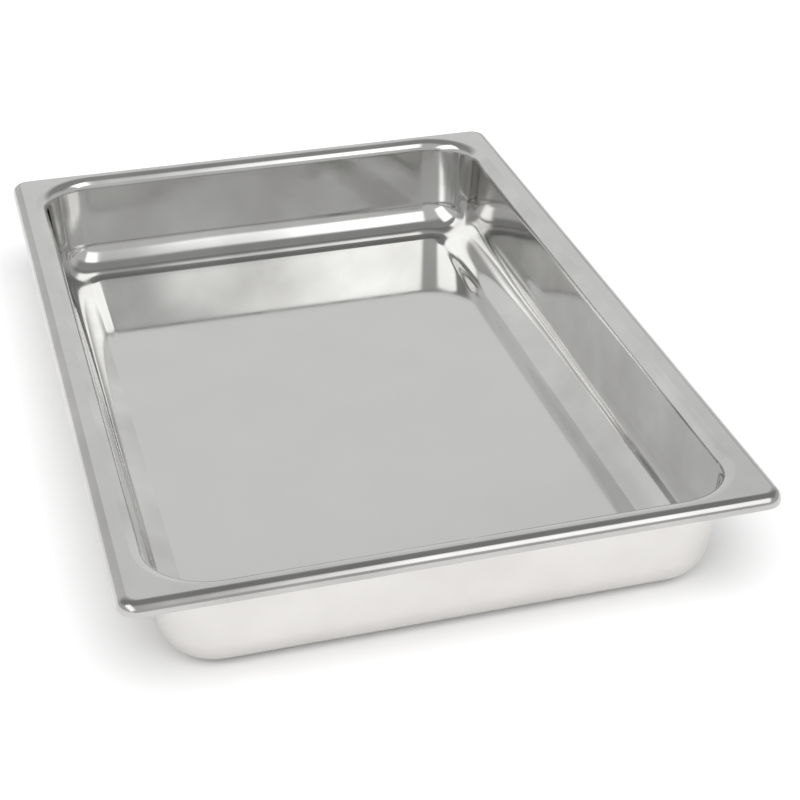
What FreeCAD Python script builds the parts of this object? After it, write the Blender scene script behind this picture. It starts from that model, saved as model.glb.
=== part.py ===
import FreeCAD, Part
import math
import os

# A shallow rectangular food pan, deep-drawn from one piece of stainless sheet.
# The sheet runs from the flat floor up a large fillet and a drafted wall, over a
# small bend into a flat flange, and down again at the rim as a short lip.
#
# Frame: millimetres, +Z up, Y along the length, X across the width. The origin
# is the middle of the floor's underside, so the pan stands on Z = 0.

# Driving dimensions.
PAN_LENGTH = 457.0            # over the lips, along Y
PAN_WIDTH = 305.0             # over the lips, along X
PAN_DEPTH = 57.0              # floor's underside to the flange's top
SHEET = 0.8                   # thickness of the steel
WALL_DRAFT = math.radians(5.5)

FLANGE_SIDE = 11.0            # lip's outer face to the inner bend, on the long sides
FLANGE_END = 6.6              # the same on the two ends
INNER_BEND = 6.5              # radius on the top face, flange to wall
OPENING_CORNER = 36.0         # plan radius of the opening where the inner bend starts
FLOOR_FILLET = 18.0           # radius on the inside face, wall to floor

OUTER_BEND = 5.0              # radius on the top face, flange to lip
RIM_CORNER = 10.0             # plan radius over the lip
LIP_DROP = 6.2                # flange's top to the lip's lower edge

# Derived plan sizes: half extents of the opening and of the flange's flat.
OPENING_X = PAN_WIDTH / 2 - FLANGE_SIDE
OPENING_Y = PAN_LENGTH / 2 - FLANGE_END
FLAT_X = PAN_WIDTH / 2 - OUTER_BEND
FLAT_Y = PAN_LENGTH / 2 - OUTER_BEND
FLAT_CORNER = RIM_CORNER - OUTER_BEND

Z_AXIS = FreeCAD.Vector(0, 0, 1)


def arc(centre, radius, start, end):
    """Arc edge in a section, (inset, height) coordinates, angles in radians."""
    points = []
    for angle in (start, (start + end) / 2, end):
        u = centre[0] + radius * math.cos(angle)
        z = centre[1] + radius * math.sin(angle)
        points.append(FreeCAD.Vector(u, 0, z))
    return Part.Arc(*points).toShape()


def joined(edges):
    """Face bounded by the edges, in order, with straight edges closing the gaps."""
    closed = []
    for edge, following in zip(edges, edges[1:] + edges[:1]):
        closed.append(edge)
        end = edge.lastVertex(True).Point
        start = following.firstVertex(True).Point
        if end.distanceToPoint(start) > 1e-6:
            closed.append(Part.makeLine(end, start))
    return Part.Face(Part.Wire(closed))


def bowl_section():
    """Section through bend, wall and fillet. Inset is measured inwards from the opening's line."""
    bend_centre = (0.0, PAN_DEPTH - INNER_BEND)
    bend_end = (INNER_BEND * math.cos(WALL_DRAFT), bend_centre[1] + INNER_BEND * math.sin(WALL_DRAFT))
    fillet_top = SHEET + FLOOR_FILLET * (1 - math.sin(WALL_DRAFT))
    fillet_inset = bend_end[0] + (bend_end[1] - fillet_top) * math.tan(WALL_DRAFT)
    fillet_centre = (fillet_inset + FLOOR_FILLET * math.cos(WALL_DRAFT), SHEET + FLOOR_FILLET)
    upright = math.pi / 2
    wall_side = math.pi + WALL_DRAFT
    down = 3 * math.pi / 2
    section = joined([
        arc(bend_centre, INNER_BEND, upright, WALL_DRAFT),
        arc(fillet_centre, FLOOR_FILLET, wall_side, down),
        arc(fillet_centre, FLOOR_FILLET + SHEET, down, wall_side),
        arc(bend_centre, INNER_BEND - SHEET, WALL_DRAFT, upright),
    ])
    return section, fillet_centre[0]


def lip_section():
    """Section through outer bend and lip. Inset is measured inwards from the flat's edge."""
    centre = (0.0, PAN_DEPTH - OUTER_BEND)
    lip_height = LIP_DROP - OUTER_BEND
    upright = math.pi / 2
    outward = math.pi
    lip = Part.makeBox(SHEET, 1, lip_height, FreeCAD.Vector(-OUTER_BEND, 0, PAN_DEPTH - LIP_DROP))
    outer = arc(centre, OUTER_BEND, upright, outward)
    inner = arc(centre, OUTER_BEND - SHEET, outward, upright)
    lower_face = [face for face in lip.Faces if face.CenterOfMass.y < 1e-6]
    return joined([outer, inner]).fuse(lower_face[0]).removeSplitter().Faces[0]


def around(section, half_x, half_y, corner):
    """Carry a section round a rounded rectangle: one quarter, then its mirror images."""
    side = section.mirror(FreeCAD.Vector(0, 0, 0), FreeCAD.Vector(1, 0, 0))
    side.translate(FreeCAD.Vector(half_x, half_y - corner, 0))
    long_side = side.extrude(FreeCAD.Vector(0, corner - half_y, 0))
    turn_centre = FreeCAD.Vector(half_x - corner, half_y - corner, 0)
    turn = side.revolve(turn_centre, Z_AXIS, 90)
    end = side.copy()
    end.rotate(turn_centre, Z_AXIS, 90)
    short_side = end.extrude(FreeCAD.Vector(corner - half_x, 0, 0))
    return mirrored_quarters([long_side, turn, short_side])


def mirrored_quarters(pieces):
    """The pieces of one quarter and their images across both centre planes."""
    origin = FreeCAD.Vector(0, 0, 0)
    images = list(pieces)
    for normal in (FreeCAD.Vector(1, 0, 0), FreeCAD.Vector(0, 1, 0)):
        images += [piece.mirror(origin, normal) for piece in images]
    return images


def rounded_plate(half_x, half_y, corner, bottom):
    """Flat plate one sheet thick with rounded plan corners."""
    low = FreeCAD.Vector(-half_x, -half_y, bottom)
    plate = Part.makeBox(2 * half_x, 2 * half_y, SHEET, low)
    uprights = [edge for edge in plate.Edges if abs(edge.tangentAt(edge.FirstParameter).z) > 0.5]
    return plate.makeFillet(corner, uprights)


def flange_plate():
    """The flange's flat ring, from the outer bend to the inner bend."""
    bottom = PAN_DEPTH - SHEET
    outline = rounded_plate(FLAT_X, FLAT_Y, FLAT_CORNER, bottom)
    opening = rounded_plate(OPENING_X, OPENING_Y, OPENING_CORNER, bottom)
    return outline.cut(opening)


def pan():
    """The whole pan as one solid of sheet."""
    section, floor_inset = bowl_section()
    pieces = around(section, OPENING_X, OPENING_Y, OPENING_CORNER)
    pieces += around(lip_section(), FLAT_X, FLAT_Y, FLAT_CORNER)
    pieces.append(flange_plate())
    floor_x = OPENING_X - floor_inset
    floor_y = OPENING_Y - floor_inset
    pieces.append(rounded_plate(floor_x, floor_y, OPENING_CORNER - floor_inset, 0.0))
    return pieces[0].multiFuse(pieces[1:]).removeSplitter()


os.makedirs("parts", exist_ok=True)
body = pan()
solid = body.Solids[0]
print("solids", len(body.Solids), "valid", solid.isValid(), "volume", round(solid.Volume, 1))
print("box", solid.BoundBox)
solid.exportStep("parts/pan.step")
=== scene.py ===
import math

import bpy
from mathutils import Matrix, Vector, noise


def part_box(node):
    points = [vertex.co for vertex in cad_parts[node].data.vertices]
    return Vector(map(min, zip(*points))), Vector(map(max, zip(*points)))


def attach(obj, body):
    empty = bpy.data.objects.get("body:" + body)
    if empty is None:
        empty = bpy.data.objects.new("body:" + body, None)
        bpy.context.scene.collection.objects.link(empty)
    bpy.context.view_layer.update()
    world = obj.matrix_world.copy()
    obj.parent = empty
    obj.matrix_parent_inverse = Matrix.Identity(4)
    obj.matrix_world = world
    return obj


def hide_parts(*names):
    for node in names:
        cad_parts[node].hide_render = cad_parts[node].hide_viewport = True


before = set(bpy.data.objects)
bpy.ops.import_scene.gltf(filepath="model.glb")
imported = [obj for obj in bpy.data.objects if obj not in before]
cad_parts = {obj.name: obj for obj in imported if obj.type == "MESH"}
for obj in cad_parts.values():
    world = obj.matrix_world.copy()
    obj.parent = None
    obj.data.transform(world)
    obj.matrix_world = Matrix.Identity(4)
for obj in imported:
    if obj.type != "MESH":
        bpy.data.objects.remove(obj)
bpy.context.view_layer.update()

# ---------------------------------------------------------------------------
# The pan's sizes in metres. The overall ones come from the frame.
# ---------------------------------------------------------------------------
pan_low, pan_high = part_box("pan")
HALF_WIDTH = (pan_high[0] - pan_low[0]) / 2
HALF_LENGTH = (pan_high[1] - pan_low[1]) / 2
DEPTH = pan_high[2] - pan_low[2]
SHEET = 0.0008
WALL_DRAFT = math.radians(5.5)
FLANGE_SIDE = 0.0110
FLANGE_END = 0.0066
INNER_BEND = 0.0065
OPENING_CORNER = 0.036
FLOOR_FILLET = 0.0180
OUTER_BEND = 0.0050
RIM_CORNER = 0.0100
LIP_DROP = 0.0062

OPENING = (HALF_WIDTH - FLANGE_SIDE, HALF_LENGTH - FLANGE_END)
FLAT = (HALF_WIDTH - OUTER_BEND, HALF_LENGTH - OUTER_BEND)
FLAT_CORNER = RIM_CORNER - OUTER_BEND

# Surface of the drawn sheet.
SWELL = 0.00045              # height of the long soft swells in the walls
SWELL_RATE = 14.0            # swells to the metre
RIPPLE = 0.00006             # height of the shorter ripples on them
RIPPLE_RATE = 38.0           # ripples to the metre
FLOOR_RISE = 0.0006          # how far the middle of the floor stands above its edge
RISE_START = 0.0004          # from the fillet in to where the floor begins to rise
RISE_WIDTH = 0.0060          # width of the soft step up
LIP_EDGE = 0.0003            # rounding left on the trimmed lower edge of the lip

# Segments round each ring of the mesh, and the least corner radius of a ring.
SEGMENTS_SIDE = 60
SEGMENTS_END = 40
SEGMENTS_CORNER = 14
MIN_CORNER = 0.0004

# Steel finishes: light tone, dark tone, smoothest and roughest gloss, grains to the metre.
FINISHES = {
    "floor": ((0.72, 0.72, 0.71), (0.70, 0.70, 0.69), 0.05, 0.08, 900.0),
    "wall": ((0.76, 0.76, 0.75), (0.62, 0.615, 0.605), 0.07, 0.12, 700.0),
    "flange": ((0.72, 0.72, 0.71), (0.69, 0.69, 0.68), 0.20, 0.28, 900.0),
    # The lip's tones are set darker than the rest of the same steel. This is painted shade on the lip face
    # and round its outer bend.
    "lip": ((0.58, 0.575, 0.565), (0.48, 0.475, 0.465), 0.10, 0.18, 900.0),
    "outside": ((0.75, 0.735, 0.72), (0.67, 0.655, 0.64), 0.28, 0.38, 900.0),
}
GRAIN_DEPTH = 0.00002

# Table, light and camera.
TABLE_HALF = 6.0
TABLE_LIGHT = (0.93, 0.93, 0.93)
TABLE_DARK = (0.90, 0.90, 0.90)
ROOM_LEVEL = 0.6
BACKDROP_LEVEL = 0.75
CEILING_LEVEL = 0.3
SOFTBOX_LEVEL = 1.8
KEY_FROM = Vector((-0.1, -0.7, 1.9))
KEY_SPREAD = math.radians(62.0)
KEY_STRENGTH = 2.1
CAMERA_SPOT = Vector((-0.2038, -0.8581, 0.5218))
CAMERA_AZIMUTH = 16.391      # degrees from +Y towards +X
CAMERA_ELEVATION = -30.472
CAMERA_LENS = 83.63          # millimetres, on a sensor 36 mm wide
CAMERA_SHIFT = -0.035


# ---------------------------------------------------------------------------
# Mesh of the pan
# ---------------------------------------------------------------------------
def rounded_ring(half_x, half_y, corner, height):
    """Points anticlockwise round a rounded rectangle: a corner, the side after it, and so on."""
    points = []
    signs = ((1, 1), (-1, 1), (-1, -1), (1, -1))
    for number, (sign_x, sign_y) in enumerate(signs):
        centre = Vector((sign_x * (half_x - corner), sign_y * (half_y - corner), height))
        start = number * math.pi / 2
        for step in range(SEGMENTS_CORNER + 1):
            angle = start + step / SEGMENTS_CORNER * math.pi / 2
            points.append(centre + corner * Vector((math.cos(angle), math.sin(angle), 0)))
        next_x, next_y = signs[(number + 1) % 4]
        side_end = Vector((next_x * (half_x - corner), next_y * (half_y - corner), height))
        side_end += corner * Vector((math.cos(start + math.pi / 2), math.sin(start + math.pi / 2), 0))
        side_start = points[-1].copy()
        count = SEGMENTS_END if number % 2 == 0 else SEGMENTS_SIDE
        for step in range(1, count):
            points.append(side_start.lerp(side_end, step / count))
    return points


def arc_steps(centre, radius, start, end, count, facing):
    """Section points on an arc: inset, height, and the two parts of the upper skin's normal."""
    steps = []
    for step in range(count + 1):
        angle = start + (end - start) * step / count
        cosine, sine = math.cos(angle), math.sin(angle)
        steps.append((centre[0] + radius * cosine, centre[1] + radius * sine, facing * cosine, facing * sine))
    return steps


def line_steps(first, last, count):
    """Section points strictly between two others, crowded towards both ends."""
    steps = []
    for step in range(1, count):
        part = (1 - math.cos(math.pi * step / count)) / 2
        steps.append(tuple(a + (b - a) * part for a, b in zip(first, last)))
    return steps


def lip_steps():
    """Outer face from the lip's lower edge up round the outer bend, as distances out from the flat."""
    bend = arc_steps((0.0, DEPTH - OUTER_BEND), OUTER_BEND, 0.0, math.pi / 2, 9, 1)
    start = (OUTER_BEND, DEPTH - LIP_DROP + LIP_EDGE, 1.0, 0.0)
    return [start] + line_steps(start, bend[0], 5) + bend


def bowl_steps():
    """Upper face from the start of the inner bend to the edge of the flat floor."""
    bend_centre = (0.0, DEPTH - INNER_BEND)
    bend = arc_steps(bend_centre, INNER_BEND, math.pi / 2, WALL_DRAFT, 10, 1)
    fillet_top = SHEET + FLOOR_FILLET * (1 - math.sin(WALL_DRAFT))
    fillet_inset = bend[-1][0] + (bend[-1][1] - fillet_top) * math.tan(WALL_DRAFT)
    fillet_centre = (fillet_inset + FLOOR_FILLET * math.cos(WALL_DRAFT), SHEET + FLOOR_FILLET)
    fillet = arc_steps(fillet_centre, FLOOR_FILLET, math.pi + WALL_DRAFT, 1.5 * math.pi, 20, -1)
    return bend, line_steps(bend[-1], fillet[0], 14) + fillet


def floor_steps(edge):
    """Floor from the edge of the fillet inwards: a flat margin, a soft step up and the flat middle."""
    reach = OPENING[0] - edge[0] - MIN_CORNER
    margin = [RISE_START * part for part in (0.4, 0.8)]
    rise = [RISE_START + RISE_WIDTH * step / 8 for step in range(9)]
    start = rise[-1] + 0.0008
    middle = [start + (reach - start) * (step / 12) ** 1.5 for step in range(13)]
    steps = []
    for distance in margin + rise + middle:
        part = min(1.0, max(0.0, (distance - RISE_START) / RISE_WIDTH))
        slope = 6 * part * (1 - part) * FLOOR_RISE / RISE_WIDTH
        height = edge[1] + FLOOR_RISE * part * part * (3 - 2 * part)
        tilt = math.atan(slope)
        steps.append((edge[0] + distance, height, -math.sin(tilt), math.cos(tilt)))
    return steps


def waviness(point):
    """How far a drawn wall stands off its true shape: long soft swells that die out at both ends."""
    down = (DEPTH - point.z) / DEPTH
    hold = min(1.0, max(0.0, (down - 0.08) / 0.3)) * min(1.0, max(0.0, (point.z - 0.002) / 0.012))
    swell = noise.noise(point * SWELL_RATE + Vector((3.1, 0.4, 7.7)))
    ripple = noise.noise(point * RIPPLE_RATE + Vector((1.9, 5.2, 0.3)))
    return hold * (SWELL * swell + RIPPLE * ripple)


def outward_normal(ring, place, step_in, step_up):
    """Direction of the upper skin's normal at one point of a ring."""
    before = ring[place - 1]
    after = ring[(place + 1) % len(ring)]
    along = (after - before).normalized()
    inward = Vector((-along.y, along.x, 0.0))
    return (inward * step_in + Vector((0, 0, step_up))).normalized()


def skin_rings():
    """Upper and lower skins as matching lists of rings, and the finish of each ring."""
    upper, lower, finishes = [], [], []

    def add(extent, base, step, sign, finish):
        """One ring of each skin. Insets run inwards with sign 1, and outwards over the rim with -1."""
        for rings, offset in ((upper, 0.0), (lower, SHEET)):
            move = sign * (step[0] - offset * step[2])
            corner = max(base - move, MIN_CORNER)
            rings.append(rounded_ring(extent[0] - move, extent[1] - move, corner, step[1] - offset * step[3]))
        finishes.append(finish)
        if finish == "wall":
            ring = list(upper[-1])
            for place, point in enumerate(ring):
                shift = outward_normal(ring, place, step[2], step[3]) * waviness(point)
                upper[-1][place] = point + shift
                lower[-1][place] = lower[-1][place] + shift

    for step in lip_steps():
        add(FLAT, FLAT_CORNER, step, -1, "lip")
    bend, wall = bowl_steps()
    flat_edge = (upper[-1], lower[-1])
    add(OPENING, OPENING_CORNER, bend[0], 1, "flange")
    opening_edge = (upper[-1], lower[-1])
    for rings, first, last in zip((upper, lower), flat_edge, opening_edge):
        between = [[a.lerp(b, part) for a, b in zip(first, last)] for part in (0.06, 0.35, 0.65, 0.94)]
        rings[-1:-1] = between
    finishes[-1:-1] = ["flange"] * 4
    for step in bend[1:]:
        add(OPENING, OPENING_CORNER, step, 1, "bend")
    for step in wall:
        add(OPENING, OPENING_CORNER, step, 1, "wall")
    for step in floor_steps(wall[-1]):
        add(OPENING, OPENING_CORNER, step, 1, "floor")
    return upper, lower, finishes


def edge_rings(outer, inner):
    """Rings that round the trimmed lower edge of the lip, from its outer face to its inner face."""
    rings = []
    for step in range(1, 6):
        angle = math.pi * step / 6
        drop = Vector((0, 0, LIP_EDGE * math.sin(angle)))
        rings.append([a.lerp(b, (1 - math.cos(angle)) / 2) - drop for a, b in zip(outer, inner)])
    return rings


def middle_faces(first, around):
    """Faces that close a skin inside its last ring: quads across it, and a fan at each end."""
    start = 2 * SEGMENTS_CORNER + SEGMENTS_END + 1
    left = [start + step for step in range(SEGMENTS_SIDE + 1)]
    right = [(around - step) % around for step in range(SEGMENTS_SIDE + 1)]
    faces = []
    for step in range(SEGMENTS_SIDE):
        faces.append((right[step], left[step], left[step + 1], right[step + 1]))
    back = list(range(0, left[0] + 1))
    front = list(range(left[-1], right[-1] + 1))
    return [[first + place for place in face] for face in faces + [back, front]]


def pan_mesh(finish_slots):
    """The whole pan as one closed mesh of sheet."""
    upper, lower, finishes = skin_rings()
    edge = edge_rings(upper[0], lower[0])
    chain = lower[::-1] + edge[::-1] + upper
    names = ["outside"] * len(lower) + ["lip"] * len(edge) + finishes
    around = len(upper[0])
    points = [point for ring in chain for point in ring]
    faces = []
    slots = []
    for ring in range(len(chain) - 1):
        low = ring * around
        high = low + around
        for place in range(around):
            after = (place + 1) % around
            faces.append((low + place, low + after, high + after, high + place))
            slots.append(finish_slots[names[ring + 1]])
    for first, name in ((0, "outside"), ((len(chain) - 1) * around, "floor")):
        closing = middle_faces(first, around)
        faces += closing
        slots += [finish_slots[name]] * len(closing)
    mesh = bpy.data.meshes.new("pan_sheet")
    mesh.from_pydata(points, [], faces)
    mesh.polygons.foreach_set("material_index", slots)
    mesh.polygons.foreach_set("use_smooth", [True] * len(faces))
    mesh.validate()
    mesh.update()
    return mesh


# ---------------------------------------------------------------------------
# Materials
# ---------------------------------------------------------------------------
def new_material(name):
    """An empty node material with its output, its shader and the object's own coordinates."""
    material = bpy.data.materials.new(name)
    material.use_nodes = True
    nodes = material.node_tree.nodes
    nodes.clear()
    output = nodes.new("ShaderNodeOutputMaterial")
    shader = nodes.new("ShaderNodeBsdfPrincipled")
    material.node_tree.links.new(shader.outputs["BSDF"], output.inputs["Surface"])
    coordinates = nodes.new("ShaderNodeTexCoord")
    return material, shader, coordinates.outputs["Object"]


def add_noise(material, place, scale, detail=4.0):
    """A noise pattern in object space. Returns its socket, from 0 to 1."""
    pattern = material.node_tree.nodes.new("ShaderNodeTexNoise")
    pattern.inputs["Scale"].default_value = scale
    pattern.inputs["Detail"].default_value = detail
    material.node_tree.links.new(place, pattern.inputs["Vector"])
    return pattern.outputs["Fac"]


def add_range(material, value, low, high):
    """The middle range of a noise pattern carried to a new range."""
    node = material.node_tree.nodes.new("ShaderNodeMapRange")
    limits = (("From Min", 0.3), ("From Max", 0.7), ("To Min", low), ("To Max", high))
    for name, number in limits:
        node.inputs[name].default_value = number
    material.node_tree.links.new(value, node.inputs["Value"])
    return node.outputs["Result"]


def add_mix(material, factor, first, second):
    """A colour between two, by a factor socket."""
    tree = material.node_tree
    node = tree.nodes.new("ShaderNodeMix")
    node.data_type = "RGBA"
    tree.links.new(factor, node.inputs["Factor"])
    for socket, colour in ((node.inputs["A"], first), (node.inputs["B"], second)):
        socket.default_value = (*colour, 1.0)
    return node.outputs["Result"]


def add_bump(material, shader, height, strength, distance):
    """A fine bump on the shader's normal."""
    tree = material.node_tree
    node = tree.nodes.new("ShaderNodeBump")
    node.inputs["Strength"].default_value = strength
    node.inputs["Distance"].default_value = distance
    tree.links.new(height, node.inputs["Height"])
    tree.links.new(node.outputs["Normal"], shader.inputs["Normal"])


def steel(name, light, dark, smooth, rough, grain):
    """Stainless steel: cloudy colour between two tones, uneven gloss and a fine grain."""
    material, shader, place = new_material(name)
    links = material.node_tree.links
    shader.inputs["Metallic"].default_value = 1.0
    clouds = add_range(material, add_noise(material, place, 22.0, 3.0), 0.0, 1.0)
    links.new(add_mix(material, clouds, light, dark), shader.inputs["Base Color"])
    smudges = add_noise(material, place, 60.0, 5.0)
    links.new(add_range(material, smudges, smooth, rough), shader.inputs["Roughness"])
    add_bump(material, shader, add_noise(material, place, grain, 3.0), 0.15, GRAIN_DEPTH)
    return material


def table_material():
    """Plain pale table with a barely uneven tone."""
    material, shader, place = new_material("pale_table")
    tone = add_range(material, add_noise(material, place, 3.0), 0.0, 1.0)
    links = material.node_tree.links
    links.new(add_mix(material, tone, TABLE_DARK, TABLE_LIGHT), shader.inputs["Base Color"])
    shader.inputs["Roughness"].default_value = 0.8
    return material


# ---------------------------------------------------------------------------
# The pan, which stands for the CAD node
# ---------------------------------------------------------------------------
def make_pan():
    """The pan's visible sheet, with one material for each finish."""
    slots = {finish: slot for slot, finish in enumerate(FINISHES)}
    slots["bend"] = slots["wall"]
    pan = bpy.data.objects.new("pan_sheet", pan_mesh(slots))
    bpy.context.scene.collection.objects.link(pan)
    for finish, look in FINISHES.items():
        pan.data.materials.append(steel("steel_" + finish, *look))
    smooth = pan.modifiers.new("smooth", "SUBSURF")
    smooth.levels = 1
    smooth.render_levels = 1
    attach(pan, "root")
    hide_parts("pan")
    return pan


# ---------------------------------------------------------------------------
# Stage, studio and camera
# ---------------------------------------------------------------------------
def make_table():
    """A wide pale table under the pan."""
    mesh = bpy.data.meshes.new("table")
    corners = [(side * TABLE_HALF, end * TABLE_HALF, 0) for side, end in ((-1, -1), (1, -1), (1, 1), (-1, 1))]
    mesh.from_pydata(corners, [], [(0, 1, 2, 3)])
    table = bpy.data.objects.new("table", mesh)
    bpy.context.scene.collection.objects.link(table)
    mesh.materials.append(table_material())


def aim(azimuth, elevation):
    """Unit vector towards a compass direction, in degrees: 0 is +Y, 90 is +X."""
    turn, rise = math.radians(azimuth), math.radians(elevation)
    return Vector((math.sin(turn) * math.cos(rise), math.cos(turn) * math.cos(rise), math.sin(rise)))


class Studio:
    """The studio that the steel reflects, drawn on a dome.

    A place on the dome is its angle from straight up, in degrees, split into a part towards
    +X and a part towards +Y.
    """

    def __init__(self, level):
        self.world = bpy.data.worlds.new("studio")
        bpy.context.scene.world = self.world
        self.world.use_nodes = True
        self.tree = self.world.node_tree
        self.tree.nodes.clear()
        self.level = level
        way = self.tree.nodes.new("ShaderNodeSeparateXYZ")
        self.tree.links.new(self.tree.nodes.new("ShaderNodeTexCoord").outputs["Generated"], way.inputs[0])
        fall = self.math("ARCCOSINE", way.outputs["Z"], 0.0)
        spread = self.math("DIVIDE", fall, self.math("MAXIMUM", self.math("SINE", fall, 0.0), 0.001))
        spread = self.math("MULTIPLY", spread, math.degrees(1.0))
        self.across = self.math("MULTIPLY", way.outputs["X"], spread)
        self.back = self.math("MULTIPLY", way.outputs["Y"], spread)

    def math(self, operation, first, second):
        """One sum on two values, each a socket or a number."""
        node = self.tree.nodes.new("ShaderNodeMath")
        node.operation = operation
        for socket, value in zip(node.inputs, (first, second)):
            if isinstance(value, (int, float)):
                socket.default_value = value
            else:
                self.tree.links.new(value, socket)
        return node.outputs["Value"]

    def edge(self, value, middle, soft, low, high):
        """Smooth step of a value across an edge."""
        node = self.tree.nodes.new("ShaderNodeMapRange")
        node.interpolation_type = "SMOOTHSTEP"
        steps = (("From Min", middle - soft), ("From Max", middle + soft), ("To Min", low), ("To Max", high))
        for name, number in steps:
            node.inputs[name].default_value = number
        self.tree.links.new(value, node.inputs["Value"])
        return node.outputs["Result"]

    def panel(self, across, back, level, soft):
        """A soft-edged panel of one brightness over a span of the dome each way."""
        mask = 1.0
        for value, (low, high) in ((self.across, across), (self.back, back)):
            mask = self.math("MULTIPLY", mask, self.edge(value, low, soft, 0.0, 1.0))
            mask = self.math("MULTIPLY", mask, self.edge(value, high, soft, 1.0, 0.0))
        change = self.math("SUBTRACT", level, self.level)
        self.level = self.math("ADD", self.level, self.math("MULTIPLY", mask, change))

    def finish(self, backdrop):
        """Puts the dome into the world. The camera sees a plain backdrop in its place."""
        nodes, links = self.tree.nodes, self.tree.links
        seen = nodes.new("ShaderNodeLightPath").outputs["Is Camera Ray"]
        plain = self.math("MULTIPLY", seen, self.math("SUBTRACT", backdrop, self.level))
        background = nodes.new("ShaderNodeBackground")
        background.inputs["Color"].default_value = (1.0, 1.0, 1.0, 1.0)
        links.new(self.math("ADD", self.level, plain), background.inputs["Strength"])
        output = nodes.new("ShaderNodeOutputWorld")
        links.new(background.outputs["Background"], output.inputs["Surface"])


def make_studio():
    """Plain soft studio: an even room, a pale backdrop, a dim ceiling and two softboxes."""
    studio = Studio(ROOM_LEVEL)
    studio.panel((-90, 90), (50, 100), BACKDROP_LEVEL, 5.0)
    studio.panel((-60, 60), (-20, 40), CEILING_LEVEL, 10.0)
    studio.panel((10, 40), (-60, -20), SOFTBOX_LEVEL, 5.0)
    studio.panel((-60, -30), (-60, 0), SOFTBOX_LEVEL, 5.0)
    studio.finish(1.0)


def make_key_light():
    """A wide soft light over the table. It lights the table only, and the steel doesn't mirror it."""
    data = bpy.data.lights.new("key", "SUN")
    data.angle = KEY_SPREAD
    data.energy = KEY_STRENGTH
    light = bpy.data.objects.new("key", data)
    light.location = KEY_FROM
    light.rotation_euler = (-KEY_FROM).to_track_quat("-Z", "Y").to_euler()
    light.visible_glossy = False
    light.visible_camera = False
    bpy.context.scene.collection.objects.link(light)


def make_camera():
    """Camera at the front left of the pan, looking down on it."""
    forward = aim(CAMERA_AZIMUTH, CAMERA_ELEVATION)
    right = aim(CAMERA_AZIMUTH + 90, 0)
    up = right.cross(forward)
    data = bpy.data.cameras.new("camera")
    data.sensor_width = 36.0
    data.lens = CAMERA_LENS
    data.shift_x = CAMERA_SHIFT
    data.clip_start = 0.01
    camera = bpy.data.objects.new("camera", data)
    turn = Matrix((right, up, -forward)).transposed().to_4x4()
    camera.matrix_world = Matrix.Translation(CAMERA_SPOT) @ turn
    bpy.context.scene.collection.objects.link(camera)
    bpy.context.scene.camera = camera


make_camera()
make_pan()
make_table()
make_studio()
make_key_light()
bpy.context.scene.view_settings.view_transform = "Standard"
